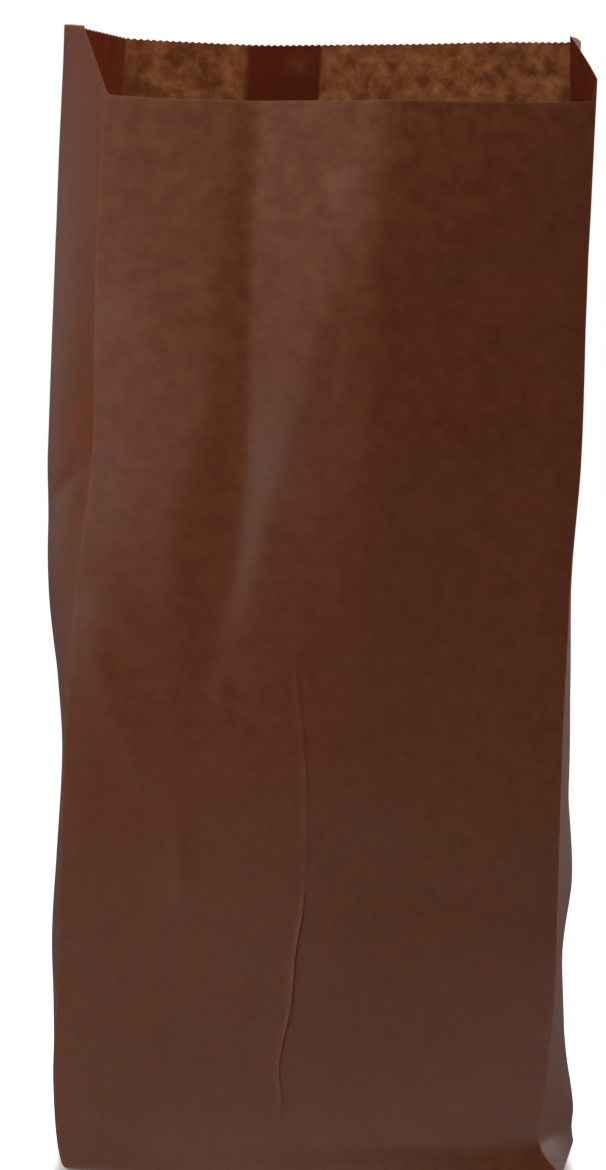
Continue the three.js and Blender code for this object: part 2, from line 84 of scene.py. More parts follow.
RIGHT_SWING = [
    (0, 10), (0.03, 20.8), (0.08, 14.8), (0.11, 12.1), (0.175, 9.2), (0.24, 12.4), (0.33, 8.5),
    (0.42, 6.9), (0.5, 3), (0.6, 0.2), (0.72, 0), (1, -8),
]
BASE_RADII = [3, 2, 1.5, 4, 7, 7]  # the turn from wall to base, at the six folds in order
BACK_BOW = 14.0  # outwards at the mouth
BOW_PLACE = 64.0  # left fold to the deepest place of the bow
BOW_FOOT = 100.0  # height at which the bow has run out
BOW_GROWTH = 1.6  # above 1, the bow opens mostly near the mouth
GUSSET_BOW = 1.2  # soft belly of each gusset half
FOOT_BOW = 3.0  # the front's foot bulges forwards between its corners
FOOT_BOW_ENDS = 4  # the higher, the nearer to the corners the bulge runs out
FOOT_BOW_TOP = 60.0  # height at which the bulge has run out

# Fold lines that break the upper front, from left to right: (height, left fold to line) and (height, rise)
FRONT_LINES = [
    (
        [
            (135, 32), (156, 31.5), (176, 30.5), (196, 28.5), (216, 33),
            (231, 35.5), (261, 36), (286, 37.5), (322, 41.5),
        ],
        [(60, 0), (135, 1.4), (201, 3), (231, 3), (261, 2.6), (291, 2), (322, 1.6)],
    ),
    (
        [(135, 42.5), (166, 44), (176, 47), (201, 47), (261, 46.5), (322, 46)],
        [(60, 0), (135, 0.9), (171, 0.4), (201, 1.2), (231, 1.7), (261, 1.4), (291, 1.1), (322, 1)],
    ),
    (
        [(135, 49), (171, 53), (201, 57), (231, 64), (261, 73), (291, 84), (322, 88)],
        [(60, 0), (135, 1.2), (171, 2), (201, 3.6), (231, 5.1), (261, 6.2), (291, 7.8), (322, 9.2)],
    ),
    (
        [(135, 88), (201, 85.5), (261, 86), (291, 88), (322, 91)],
        [
            (60, 0), (110, 0.9), (145, 2), (180, 4.4), (201, 5.6), (215, 6.1),
            (231, 6.2), (246, 6.3), (262, 6.5), (270, 6.9), (291, 8), (322, 9.5),
        ],
    ),
]
LINE_ROUND = 2.5  # how softly the paper turns at such a line

# Broad soft folds: upper end and lower end as (left fold to fold line, height), width and rise
FRONT_FOLDS = [((118, 190), (104, 60), 26, -2), ((30, 120), (34, 40), 24, -1)]
BACK_FOLDS = [
    ((104, 350), (92, 120), 18, 3), ((28, 350), (34, 170), 14, -2), ((76, 200), (58, 50), 24, 2.4),
]
FOLD_FADE = 45.0  # height over which the end of a broad fold runs out
FOLD_OVERRUN = 0.5  # share of its length by which a broad fold's line runs on past each end
FOLD_MARGIN = 18.0  # beside a panel's straight folds, where its broad folds die away

# The sharp crease up the lower front, a pinched ridge: (height, left fold to crease) and (height, rise)
CREASE = [
    (8, 69.6), (24, 69.4), (33, 68.4), (51, 70.8), (66, 71.6), (81, 73.6), (111, 73.5), (129, 72),
    (159, 67.8), (190, 70),
]
CREASE_RISE = [
    (8, 0), (22, 0.35), (33, 0.65), (70, 0.7), (80, 0.6), (90, 0.3), (111, 0.32), (129, 0.2),
    (150, 0.15), (159, 0),
]
CREASE_FLANKS = (1.4, 0.6)  # width of the ridge to the left and to the right of its top
CREASE_COLUMN = 70.0  # column of the paper's grid that follows the crease
CREASE_REACH = 15.0  # the grid is drawn towards the crease from this far off

# Small marks of handling: places as (around the bag, height), then rise and width.
# Places around the bag run anticlockwise from the front left fold.
MARKS = [
    ([(35, 107), (36, 92), (36.5, 76)], 0.8, 2.4),
    ([(3, 168), (14, 140), (26, 111)], 0.8, 6.0),
    ([(449.5, 213.5), (434, 206), (416.5, 198.5)], -0.6, 3.0),
    ([(6, 22), (17, 17), (30, 11.5)], 0.35, 1.5),
    ([(46.5, 300), (46.5, 262), (47, 210), (47, 196)], -0.25, 1.6),
    ([(78, 256), (77.5, 240), (76, 226)], 0.3, 1.5),
    ([(52.5, 152), (49.5, 133)], -0.3, 2.0),
    ([(46, 152), (48.5, 130)], 0.25, 1.6),
    ([(88, 268), (105, 266.5), (127, 270), (146, 273)], -0.8, 5.0),
    ([(1, 257), (15, 255), (31, 253.5)], 0.6, 5.0),
    ([(1, 172), (14, 165), (27, 157)], 0.7, 4.0),
    ([(70, 292), (81, 297), (92, 303)], 0.8, 5.0),
    ([(62, 196), (87, 218), (118, 221), (146, 222)], 1.8, 16.0),
    ([(85.5, 215), (86, 262), (88.5, 312)], 1.3, 8.0),
    ([(45, 280), (45, 250), (46, 220)], 0.4, 4.0),
    ([(109, 104.5), (116, 103)], 0.15, 1.0),
    ([(112, 89.5), (119, 88.5)], 0.15, 1.0),
    ([(324, 334), (316, 342), (309, 349)], -1.1, 4.0),
    ([(142, 10), (152, 9.5), (168, 10)], -0.7, 2.0),
    ([(252, 328), (262, 250), (258, 214)], 0.5, 2.2),
    ([(344, 96), (330, 60), (338, 24)], -0.5, 1.8),
    ([(286, 150), (276, 96), (281, 70)], 0.4, 2.0),
    ([(362, 300), (352, 262), (356, 236)], -0.4, 2.4),
    ([(168, 142), (176, 118), (186, 108)], 0.4, 1.8),
    ([(196, 236), (208, 222), (222, 219)], -0.4, 2.0),
    ([(380, 92), (394, 76), (410, 70)], -0.4, 2.0),
]
MARK_ROUND = 1.2  # how softly the paper turns along a narrow mark
MARK_SOFTNESS = 0.4  # and along a wide one, as a share of its width
COCKLES = [(30.0, 0.13), (12.0, 0.05)]  # wavelength and height of the paper's own waviness
FLAT_FOOT = (2.0, 12.0)  # marks and waviness fade in between these heights

# Fineness of the mesh
FACE_STEPS = {"front": 1.6, "back": 2.4, "gusset": 1.7}
BESIDE_FOLD = [0.3, 0.8, 1.6, 3.0]  # columns beside every fold keep its edge crisp
BESIDE_CREASE = [0.6, 1.4, 2.6]
WALL_ROWS = 150
TURN_ROWS = 8
RIM_STRIP = 1.6  # plain strip below the serrated cut
LEAST_CELL = 0.4  # a column nearer than this to one that has to stay is left out
WORN_STRIP = 0.9  # the fibres are rubbed this far beside a fold

# How little light the paper lets through, and how far it takes the dark red of paste: 1 where two layers
# are pasted together, 0 in the plain sheet; in the gussets the dark red is painted shade
GUSSET_PAINTED_SHADE = 0.85  # painted shade: the gussets are painted dark red, mostly on their inner face, and let less light through
PALE_LAP_PATCH = (316.0, 342.5)  # a place on the lap that is paler and lets more light through
PALE_LAP_REACH = (6.0, 4.0)  # sideways and up
PALE_LAP_DENSITY = 0.45

HALF_GUSSET = GUSSET_WIDTH / 2
GIRTH = 2 * FACE_WIDTH + 2 * GUSSET_WIDTH
BACK_FROM = FACE_WIDTH + GUSSET_WIDTH  # right-hand fold of the back, measured around the bag
BACK_TO = BACK_FROM + FACE_WIDTH
PANEL_WIDTHS = np.array([FACE_WIDTH, HALF_GUSSET, HALF_GUSSET, FACE_WIDTH, HALF_GUSSET, HALF_GUSSET])
PANEL_STARTS = np.concatenate([[0.0], np.cumsum(PANEL_WIDTHS)[:-1]])
FLOOR_OF_BASE = PAPER  # the base lies on its flap, which is one layer
NUDGE = 0.01  # step for the surface's slopes
SHARPEST_FOLD = 0.3  # least cosine of half a fold's turn for which a layer keeps its thickness
TOOTHED_FROM = FACE_WIDTH + RIGHT_SLANT
TOOTHED_TO = GIRTH - LEFT_SLANT
TEETH = round((TOOTHED_TO - TOOTHED_FROM) / TOOTH_PITCH)
LAP_FROM = BACK_FROM + FACE_WIDTH / 2 + LAP_PLACE - LAP_WIDTH / 2
LAP_TO = LAP_FROM + LAP_WIDTH
POINT_VALUES = ("inside", "dense_and_shaded", "cut_edge", "by_fold")


def curve(points, at):
    """Values of a smooth curve through (place, value) points, level beyond its ends."""
    x, y = np.array(points, float).T
    at = np.clip(at, x[0], x[-1])
    slope = np.empty_like(y)
    slope[1:-1] = (y[2:] - y[:-2]) / (x[2:] - x[:-2])
    slope[0] = (y[1] - y[0]) / (x[1] - x[0])
    slope[-1] = (y[-1] - y[-2]) / (x[-1] - x[-2])
    i = np.clip(np.searchsorted(x, at, side="right") - 1, 0, len(x) - 2)
    run = x[i + 1] - x[i]
    rise = y[i + 1] - y[i]
    t = (at - x[i]) / run
    a = slope[i] * run - rise
    b = rise - slope[i + 1] * run
    return y[i] + rise * t + t * (1 - t) * (a * (1 - t) + b * t)


def smoothstep(value, low, high):
    t = np.clip((value - low) / (high - low), 0, 1)
    return t * t * (3 - 2 * t)


def folds_at(height):
    """The six folds in plan at each height, anticlockwise from the front left."""
    share = height / BAG_HEIGHT
    left = np.radians(curve(LEFT_SWING, share))
    right = np.radians(curve(RIGHT_SWING, share))
    lean = curve(LEAN, share)
    half_front = (FACE_WIDTH - curve(FRONT_DRAW_IN, share)) / 2
    half_back = (FACE_WIDTH - curve(BACK_DRAW_IN, share)) / 2
    shift = curve(BACK_SHIFT, share)
    level = np.zeros_like(share)
    return np.array([
        [lean - half_front, -HALF_GUSSET * np.cos(left)],
        [lean + half_front, -HALF_GUSSET * np.cos(right)],
        [lean + half_front + HALF_GUSSET * np.sin(right), level],
        [lean + half_back + shift, HALF_GUSSET * np.cos(right)],
        [lean - half_back + shift, HALF_GUSSET * np.cos(left)],
        [lean - half_front - HALF_GUSSET * np.sin(left), level],
    ])


def broken_rise(across, height):
    """Rise of the front where its fold lines break it, 0 at its edges."""
    x = [np.zeros_like(height)] + [curve(line, height) for line, _ in FRONT_LINES]
    y = [np.zeros_like(height)] + [curve(rise, height) for _, rise in FRONT_LINES]
    x.append(np.full_like(height, FACE_WIDTH))
    y.append(np.zeros_like(height))
    slopes = [(y[i + 1] - y[i]) / (x[i + 1] - x[i]) for i in range(len(x) - 1)]

    def rise_at(spot):
        total = slopes[0] * spot
        for i in range(1, len(slopes)):
            past = spot - x[i]
            total = total + (slopes[i] - slopes[i - 1]) * (past + np.hypot(past, LINE_ROUND)) / 2
        return total

    start, end = rise_at(0.0), rise_at(FACE_WIDTH)
    return rise_at(across) - (start + (end - start) * across / FACE_WIDTH)


def fold_rise(folds, across, height):
    """Sum of the broad folds, positive outwards."""
    total = np.zeros_like(height)
    for top, foot, width, rise in folds:
        share = np.clip((height - foot[1]) / (top[1] - foot[1]), -FOLD_OVERRUN, 1 + FOLD_OVERRUN)
        line = foot[0] + (top[0] - foot[0]) * share
        fade = smoothstep(height, foot[1] - FOLD_FADE, foot[1] + FOLD_FADE)
        fade = fade * (1 - smoothstep(height, top[1], top[1] + 2 * FOLD_FADE))
        total += rise * fade * np.exp(-(((across - line) / width) ** 2))
    return total


def held_at_folds(across, width):
    return smoothstep(np.minimum(across, width - across), 0, FOLD_MARGIN)


def front_rise(across, height):
    off = across - CREASE_COLUMN
    pinch = np.maximum(0, 1 - abs(off) / np.where(off < 0, *CREASE_FLANKS))
    soft = held_at_folds(across, FACE_WIDTH) * fold_rise(FRONT_FOLDS, across, height)
    from_middle = np.minimum(1, abs(2 * across / FACE_WIDTH - 1))
    foot = FOOT_BOW * np.maximum(0, 1 - height / FOOT_BOW_TOP) ** 2 * (1 - from_middle**FOOT_BOW_ENDS)
    return broken_rise(across, height) + foot + soft + curve(CREASE_RISE, height) * pinch


def back_rise(across, height):
    share = np.clip(1 - across / FACE_WIDTH, 0, 1)
    bend = math.log(0.5) / math.log(BOW_PLACE / FACE_WIDTH)
    run = np.maximum(0, (height - BOW_FOOT) / (BAG_HEIGHT - BOW_FOOT))
    bow = np.sin(np.pi * share**bend) * run**BOW_GROWTH
    return BACK_BOW * bow + held_at_folds(across, FACE_WIDTH) * fold_rise(BACK_FOLDS, across, height)


def gusset_rise(across, height):
    up = np.sin(np.pi * np.clip(height / BAG_HEIGHT, 0, 1))
    return GUSSET_BOW * up * np.sin(np.pi * across / HALF_GUSSET)


PANEL_RISES = [front_rise, gusset_rise, gusset_rise, back_rise, gusset_rise, gusset_rise]


def panel_at(around):
    """Panel of each place around the bag, and how far the place is from that panel's first fold."""
    around = around % GIRTH
    panel = np.searchsorted(PANEL_STARTS, around, side="right") - 1
    return panel, around - PANEL_STARTS[panel]


def place(around, height):
    """Outer surface of the smooth sheet at each place around the bag and height."""
    panel, across = panel_at(around)
    folds = folds_at(height)
    each = np.arange(len(around))
    start = folds[panel, :, each]
    line = folds[(panel + 1) % 6, :, each] - start
    outward = np.stack([line[:, 1], -line[:, 0]], 1) / np.linalg.norm(line, axis=1, keepdims=True)
    rise = np.zeros_like(height)
    for k, panel_rise in enumerate(PANEL_RISES):
        on = panel == k
        rise[on] = panel_rise(across[on], height[on])
    pull = np.where(panel == 0, np.maximum(0, 1 - abs(across - CREASE_COLUMN) / CREASE_REACH), 0)
    slid = across + (curve(CREASE, height) - CREASE_COLUMN) * pull
    spot = start + line * (slid / PANEL_WIDTHS[panel])[:, None] + outward * rise[:, None]
    return np.column_stack([spot, height])


def unit(vectors):
    return vectors / np.linalg.norm(vectors, axis=1, keepdims=True)


def outward_at(around, height):
    """Outward direction, long enough to keep the paper's thickness at a fold."""
    up = place(around, height + NUDGE) - place(around, np.maximum(height - NUDGE, 0))
    here = place(around, height)
    before = unit(np.cross(here - place(around - NUDGE, height), up))
    after = unit(np.cross(place(around + NUDGE, height) - here, up))
    middle = unit(before + after)
    return middle / np.maximum(np.sum(middle * after, 1), SHARPEST_FOLD)[:, None]


def waves(around, height, size, seed):
    """Smooth random waviness between -1 and 1, which joins up around the bag."""
    cells = round(GIRTH / size)
    knots = np.random.default_rng(seed).uniform(-1, 1, (cells, math.ceil(BAG_HEIGHT / size) + 3))
    x = (around % GIRTH) / GIRTH * cells
    y = height / size
    i, j = np.floor(x).astype(int), np.floor(y).astype(int)
    u, v = smoothstep(x - i, 0, 1), smoothstep(y - j, 0, 1)
    low = knots[i % cells, j] * (1 - u) + knots[(i + 1) % cells, j] * u
    high = knots[i % cells, j + 1] * (1 - u) + knots[(i + 1) % cells, j + 1] * u
    return low * (1 - v) + high * v


def crumple(around, height):
    """Waviness and handling marks of the paper, positive outwards. They run out at the base."""
    around = around % GIRTH
    total = np.zeros_like(height)
    for k, (size, rise) in enumerate(COCKLES):
        total += rise * waves(around, height, size, k)
    for path, rise, width in MARKS:
        lengths = [math.dist(a, b) for a, b in zip(path, path[1:])]
        best = np.full_like(height, np.inf)
        along = np.zeros_like(height)
        done = 0.0
        for (a, b), length in zip(zip(path, path[1:]), lengths):
            way = np.subtract(b, a) / length
            run = np.clip((around - a[0]) * way[0] + (height - a[1]) * way[1], 0, length)
            gap = np.hypot(around - a[0] - run * way[0], height - a[1] - run * way[1])
            near = gap < best
            best = np.where(near, gap, best)
            along = np.where(near, (done + run) / sum(lengths), along)
            done += length
        turn = max(MARK_ROUND, MARK_SOFTNESS * width)
        total += rise * np.sin(np.pi * along) * np.exp((turn - np.hypot(best, turn)) / width)
    return total * smoothstep(height, *FLAT_FOOT)


def wall_points(around, height, depth):
    lift = crumple(around, height) - depth
    spots = place(around, height) + outward_at(around, height) * lift[:, None]
    spots[:, 2] = height + FLOOR_OF_BASE
    return spots


def base_inwards():
    """Inward direction in plan at each fold of the base, long enough to draw both of its edges in by 1."""
    folds = folds_at(np.zeros(1))[:, :, 0]
    before = unit(folds - np.roll(folds, 1, axis=0))
    after = unit(np.roll(folds, -1, axis=0) - folds)
    middle = unit(before + after)
    return np.stack([-middle[:, 1], middle[:, 0]], 1) / np.sum(middle * after, 1)[:, None]


BASE_INWARDS = base_inwards()


def across_base(values, around):
    """Value at each place around the base, straight between the values at the six folds."""
    values = np.array(values, float)
    panel, across = panel_at(around)
    share = across / PANEL_WIDTHS[panel]
    if values.ndim > 1:
        share = share[:, None]
    return values[panel] * (1 - share) + values[(panel + 1) % 6] * share


def turn_points(around, turn, depth):
    """Points of the turn from base to wall: turn is 0 on the base and a right angle on the wall."""
    radius = across_base(BASE_RADII, around)
    inwards = across_base(BASE_INWARDS, around) * (radius - (radius - depth) * math.sin(turn))[:, None]
    spots = place(around, radius * (1 - math.cos(turn)))
    spots[:, :2] += inwards
    spots[:, 2] = FLOOR_OF_BASE + radius - (radius - depth) * math.cos(turn)
    return spots


SERRATED_DROP = [
    (TOOTHED_FROM, RIGHT_TIP_DROP), (BACK_FROM, 0), (BACK_TO, BACK_LEFT_DROP),
    (GIRTH - HALF_GUSSET, LEFT_FOLD_DROP), (TOOTHED_TO, LEFT_TIP_DROP),
]


def climb_past(past, fold_climb, slant, tip_drop):
    """Climb of the cut from the lip (0) to the serrated edge (1), past a front fold or just before it."""
    at_fold = fold_climb / (LIP - tip_drop)
    climb = np.where(past < 0, at_fold * (1 + past / SLANT_START), at_fold + (1 - at_fold) * past / slant)
    return np.clip(climb, 0, 1)


def cut_height(around):
    """Height of the cut around the mouth, without its teeth."""
    onwards = np.where(around < FACE_WIDTH / 2, around + GIRTH, around)
    right = climb_past(onwards - FACE_WIDTH, RIGHT_FOLD_CLIMB, RIGHT_SLANT, RIGHT_TIP_DROP)
    left = climb_past(GIRTH - onwards, LEFT_FOLD_CLIMB, LEFT_SLANT, LEFT_TIP_DROP)
    off = np.minimum(1, abs(2 * (onwards % GIRTH) / FACE_WIDTH - 1))
    lip = LIP + LIP_SAG * (1 - off**SAG_ENDS)
    drop = lip + (curve(SERRATED_DROP, onwards) - lip) * np.minimum(left, right)
    return BAG_HEIGHT - FLOOR_OF_BASE - drop


def tooth_dip(around):
    share = (around - TOOTHED_FROM) / (TOOTHED_TO - TOOTHED_FROM)
    dip = TOOTH_DEPTH * (1 - abs(2 * ((share * TEETH) % 1) - 1))
    return np.where((share > 0) & (share < 1), dip, 0)


def layers(around, past_edge):
    """Depth of the outer and inner face. The lap is double, and past it the inner layer comes back out."""
    edge = NUDGE / 2 if past_edge else -NUDGE / 2
    if not LAP_FROM - edge < around <= BACK_TO:
        return 0.0, PAPER
    if around > LAP_TO - edge:
        left = (BACK_TO - around) / (BACK_TO - LAP_TO)
        return PAPER * left, PAPER * (1 + left)
    return 0.0, 2 * PAPER


def columns_around():
    """Columns of the grid as (place around, outer depth, inner depth), with a pair at each lap edge."""
    kept = [SLANT_START, FACE_WIDTH - SLANT_START, CREASE_COLUMN]
    kept += [TOOTHED_FROM, LAP_FROM, LAP_TO, TOOTHED_TO]
    kept += [CREASE_COLUMN + side * off for off in BESIDE_CREASE for side in (-1, 1)]
    margin = BESIDE_FOLD[-1]
    spots = []
    for k, (start, width) in enumerate(zip(PANEL_STARTS, PANEL_WIDTHS)):
        step = FACE_STEPS[{0: "front", 3: "back"}.get(k, "gusset")]
        cells = round((width - 2 * margin) / step)
        spots += [start + off for off in BESIDE_FOLD] + [start + width - off for off in BESIDE_FOLD]
        spots += list(np.linspace(start + margin, start + width - margin, cells + 1)[1:-1])
    spots = [spot for spot in spots if all(abs(spot - other) > LEAST_CELL for other in kept)]
    columns = []
    for around in sorted([*PANEL_STARTS, *spots, *kept]):
        columns.append((around, *layers(around, False)))
        if around in (LAP_FROM, LAP_TO):
            columns.append((around, *layers(around, True)))
    return np.array(columns)


def density_and_painted_shade(around, height):
    """How little light the paper lets through at each point, which also paints it dark red; on the gussets
    this is painted shade.
    """
    panel, _ = panel_at(around)
    lap = (around >= LAP_FROM) & (around <= LAP_TO)
    off = np.hypot((around - PALE_LAP_PATCH[0]) / PALE_LAP_REACH[0], (height - PALE_LAP_PATCH[1]) / PALE_LAP_REACH[1])
    pasted = 1 - (1 - PALE_LAP_DENSITY) * np.exp(-(off**2))
    return np.where(lap, pasted, np.where((panel == 0) | (panel == 3), 0.0, GUSSET_PAINTED_SHADE))


def by_fold(around):
    """1 on a fold, and less across the worn strip beside it."""
    gaps = np.abs(around[:, None] - np.append(PANEL_STARTS, GIRTH)[None, :]).min(axis=1)
    return np.clip(1 - gaps / WORN_STRIP, 0, 1)


def point_values(around, height, side, cut):
    """What the finish needs to know at each point, in the order of POINT_VALUES."""
    level = np.ones(len(around))
    return np.column_stack([side * level, density_and_painted_shade(around, height), cut * level, by_fold(around)])


def rim_around(columns):
    """Points of the cut: every column, and every tip and notch of the teeth."""
    tips = TOOTHED_FROM + (TOOTHED_TO - TOOTHED_FROM) * np.arange(1, 2 * TEETH) / (2 * TEETH)
    tips = [tip for tip in tips if np.all(abs(columns[:, 0] - tip) > NUDGE)]
    rim = np.vstack([columns, [(tip, *layers(tip, True)) for tip in tips]])
    return rim[np.argsort(rim[:, 0], kind="stable")]


class SheetMesh:
    """Points and faces of the bag's sheet while it is put together."""

    def __init__(self):
        self.spots = []
        self.values = []
        self.faces = []

    def add_row(self, spots, values):
        first = len(self.spots)
        self.spots.extend(map(tuple, spots))
        self.values.extend(map(tuple, values))
        return list(range(first, first + len(spots)))

    def add_face(self, corners, outwards):
        self.faces.append(tuple(corners) if outwards else tuple(reversed(corners)))

    def zip_rows(self, lower, lower_at, upper, upper_at, outwards):
        """Triangles between two rows of points that run the same way."""
        i = j = 0
        while i < len(lower) - 1 or j < len(upper) - 1:
            if j == len(upper) - 1 or (i < len(lower) - 1 and lower_at[i + 1] <= upper_at[j + 1]):
                self.add_face((lower[i], lower[i + 1], upper[j]), outwards)
                i += 1
            else:
                self.add_face((lower[i], upper[j + 1], upper[j]), outwards)
                j += 1

    def by_angle(self, ring, middle):
        """A closed ring of points with their angles around a middle, from the least angle on."""
        spots = np.array([self.spots[i] for i in ring])
        angles = np.arctan2(spots[:, 1] - middle[1], spots[:, 0] - middle[0])
        least = int(np.argmin(angles))
        ring = ring[least:] + ring[:least]
        angles = np.roll(angles, -least)
        return ring + [ring[0]], np.append(angles, angles[0] + 2 * np.pi)

    def add_pasted(self, surround, corners, near, far, side):
        """Paper pasted on a flat face: the face around it, its edge and its own far face.

        The corners run anticlockwise. Pasted paper faces up on the inner side (1), down on the outer (0).
        """
        upwards = side == 1
        values = [(side, 1.0, 0.0, 0.0)] * len(corners)
        middle = np.mean(corners, axis=0)
        lower = self.add_row([(x, y, near) for x, y in corners], values)
        upper = self.add_row([(x, y, far) for x, y in corners], values)
        self.zip_rows(*self.by_angle(surround, middle), *self.by_angle(lower, middle), upwards)
        self.zip_rows(*self.by_angle(lower, middle), *self.by_angle(upper, middle), upwards)
        self.add_face(upper, upwards)


def add_side(sheet, columns, rim, side):
    """The outer face of the paper (0) or its inner face (1). Gives the rows at its base and at its cut."""
    around, depth = columns[:, 0], columns[:, 1 + side]
    foot = across_base(BASE_RADII, around)
    top = cut_height(around) - RIM_STRIP
    values = point_values(around, foot, side, 0.0)
    rows = [sheet.add_row(turn_points(around, 0.0, np.full(len(around), side * PAPER)), values)]
    for k in range(1, TURN_ROWS):
        rows.append(sheet.add_row(turn_points(around, math.pi / 2 * k / TURN_ROWS, depth), values))
    for k in range(WALL_ROWS + 1):
        height = foot + (top - foot) * k / WALL_ROWS
        values = point_values(around, height, side, 0.0)
        rows.append(sheet.add_row(wall_points(around, height, depth), values))
    for low, high in zip(rows, rows[1:]):
        for c in range(len(around)):
            n = (c + 1) % len(around)
            sheet.add_face((low[c], low[n], high[n], high[c]), side == 0)
    rim_at = rim[:, 0]
    cut = cut_height(rim_at) - tooth_dip(rim_at)
    edge = sheet.add_row(wall_points(rim_at, cut, rim[:, 1 + side]), point_values(rim_at, cut, side, 1.0))
    sheet.zip_rows(
        rows[-1] + rows[-1][:1], [*around, GIRTH], edge + edge[:1], [*rim_at, GIRTH], side == 0,
    )
    return rows[0], edge


def add_base(sheet, around, outer_ring, inner_ring):
    """The pasted base: the flap under it, and inside it the tucked-in triangles of the gussets."""
    def column_at(spot):
        return int(np.argmin(abs(around - spot)))

    front_left, front_right, back_right, back_left = (
        np.array(sheet.spots[inner_ring[column_at(spot)]][:2])
        for spot in (0, FACE_WIDTH, BACK_FROM, BACK_TO)
    )
    left, right = front_left[0] + FLAP_SETBACK, front_right[0] - FLAP_SETBACK
    flap = [(left, FLAP_FOLD), (right, FLAP_FOLD), (right, FLAP_FOLD + LIP), (left, FLAP_FOLD + LIP)]
    sheet.add_pasted(outer_ring, flap, FLOOR_OF_BASE, 0.0, 0)
    front_middle, back_middle = column_at(FACE_WIDTH / 2), column_at(BACK_FROM + FACE_WIDTH / 2)
    halves = [
        (inner_ring[front_middle:back_middle + 1], front_right, back_right, -1),
        (inner_ring[back_middle:] + inner_ring[:front_middle + 1], front_left, back_left, 1),
    ]
    near = FLOOR_OF_BASE + PAPER
    for half, front, back, inwards in halves:
        tuck = [
            (front[0] + inwards * TUCK_SETBACK, front[1] + 2 * TUCK_SETBACK),
            (front[0] + inwards * HALF_GUSSET, (front[1] + back[1]) / 2),
            (back[0] + inwards * TUCK_SETBACK, back[1] - 2 * TUCK_SETBACK),
        ]
        sheet.add_pasted(half, tuck[::inwards], near, near + 2 * PAPER, 1)


def make_sheet():
    """The whole sheet as one closed surface: outer face, inner face, cut edge and pasted base."""
    sheet = SheetMesh()
    columns = columns_around()
    rim = rim_around(columns)
    outer_ring, outer_edge = add_side(sheet, columns, rim, 0)
    inner_ring, inner_edge = add_side(sheet, columns, rim, 1)
    for c in range(len(rim)):
        n = (c + 1) % len(rim)
        sheet.add_face((outer_edge[c], outer_edge[n], inner_edge[n], inner_edge[c]), True)
    add_base(sheet, columns[:, 0], outer_ring, inner_ring)
    return sheet


def make_bag():
    """The bag as one object, with what the finish needs to know kept on its points."""
    sheet = make_sheet()
    mesh = bpy.data.meshes.new("kraft_bag")
    mesh.from_pydata([tuple(MM * v for v in spot) for spot in sheet.spots], [], sheet.faces)
    values = np.array(sheet.values, np.float32)
    for k, name in enumerate(POINT_VALUES):
        mesh.attributes.new(name, "FLOAT", "POINT").data.foreach_set("value", values[:, k].copy())
    bag = bpy.data.objects.new("kraft_bag", mesh)
    bpy.context.collection.objects.link(bag)
    joined = bmesh.new()
    joined.from_mesh(mesh)
    bmesh.ops.remove_doubles(joined, verts=joined.verts, dist=1e-6)
    bmesh.ops.dissolve_degenerate(joined, edges=joined.edges, dist=1e-7)
    joined.to_mesh(mesh)
    joined.free()
    for polygon in mesh.polygons:
        polygon.use_smooth = True
    mesh.set_sharp_from_angle(angle=math.radians(35))
    return bag


def linear(hex_colour):
    """An sRGB hex colour as a linear colour with full alpha."""
    channels = [int(hex_colour[i:i + 2], 16) / 255 for i in (1, 3, 5)]
    return [c / 12.92 if c <= 0.04045 else ((c + 0.055) / 1.055) ** 2.4 for c in channels] + [1.0]


def add_node(tree, kind, links=None, **settings):
    """Adds a node with its settings, and sets or links its sockets."""
    node = tree.nodes.new("ShaderNode" + kind)
    for name, value in settings.items():
        setattr(node, name, value)
    for socket, value in (links or {}).items():
        if isinstance(value, bpy.types.NodeSocket):
            tree.links.new(value, node.inputs[socket])
        else:
            node.inputs[socket].default_value = value
    return node


def kraft_patterns(tree):
    """Patterns of the pulp: its clouds, its drift of tone, its fibres and its bits of bark."""
    spot = add_node(tree, "TexCoord").outputs["Object"]
    # clouds of fibres, 6 mm across, over a slow drift of tone
    clouds = add_node(tree, "TexNoise", {
        "Vector": spot, "Scale": 1 / (6 * MM), "Detail": 4.0, "Roughness": 0.6,
    })
    drift = add_node(tree, "TexNoise", {
        "Vector": spot, "Scale": 1 / (45 * MM), "Detail": 3.0, "Roughness": 0.5,
    })
    # fibres lie mostly up and down; 0.04 mm in life, drawn 0.5 mm by 5 mm so that they show
    lain = add_node(tree, "Mapping", {"Vector": spot, "Scale": (1.0, 1.0, 0.1)}, vector_type="POINT")
    fibres = add_node(tree, "TexNoise", {
        "Vector": lain.outputs[0], "Scale": 1 / (0.5 * MM), "Detail": 2.0, "Roughness": 0.6,
        "Distortion": 0.6,
    })
    # bits of bark, about 0.7 mm, one in a few square centimetres
    grains = add_node(tree, "TexVoronoi", {"Vector": spot, "Scale": 1 / (6 * MM), "Randomness": 1.0})
    return clouds.outputs["Fac"], drift.outputs["Fac"], fibres.outputs["Fac"], grains.outputs["Distance"]


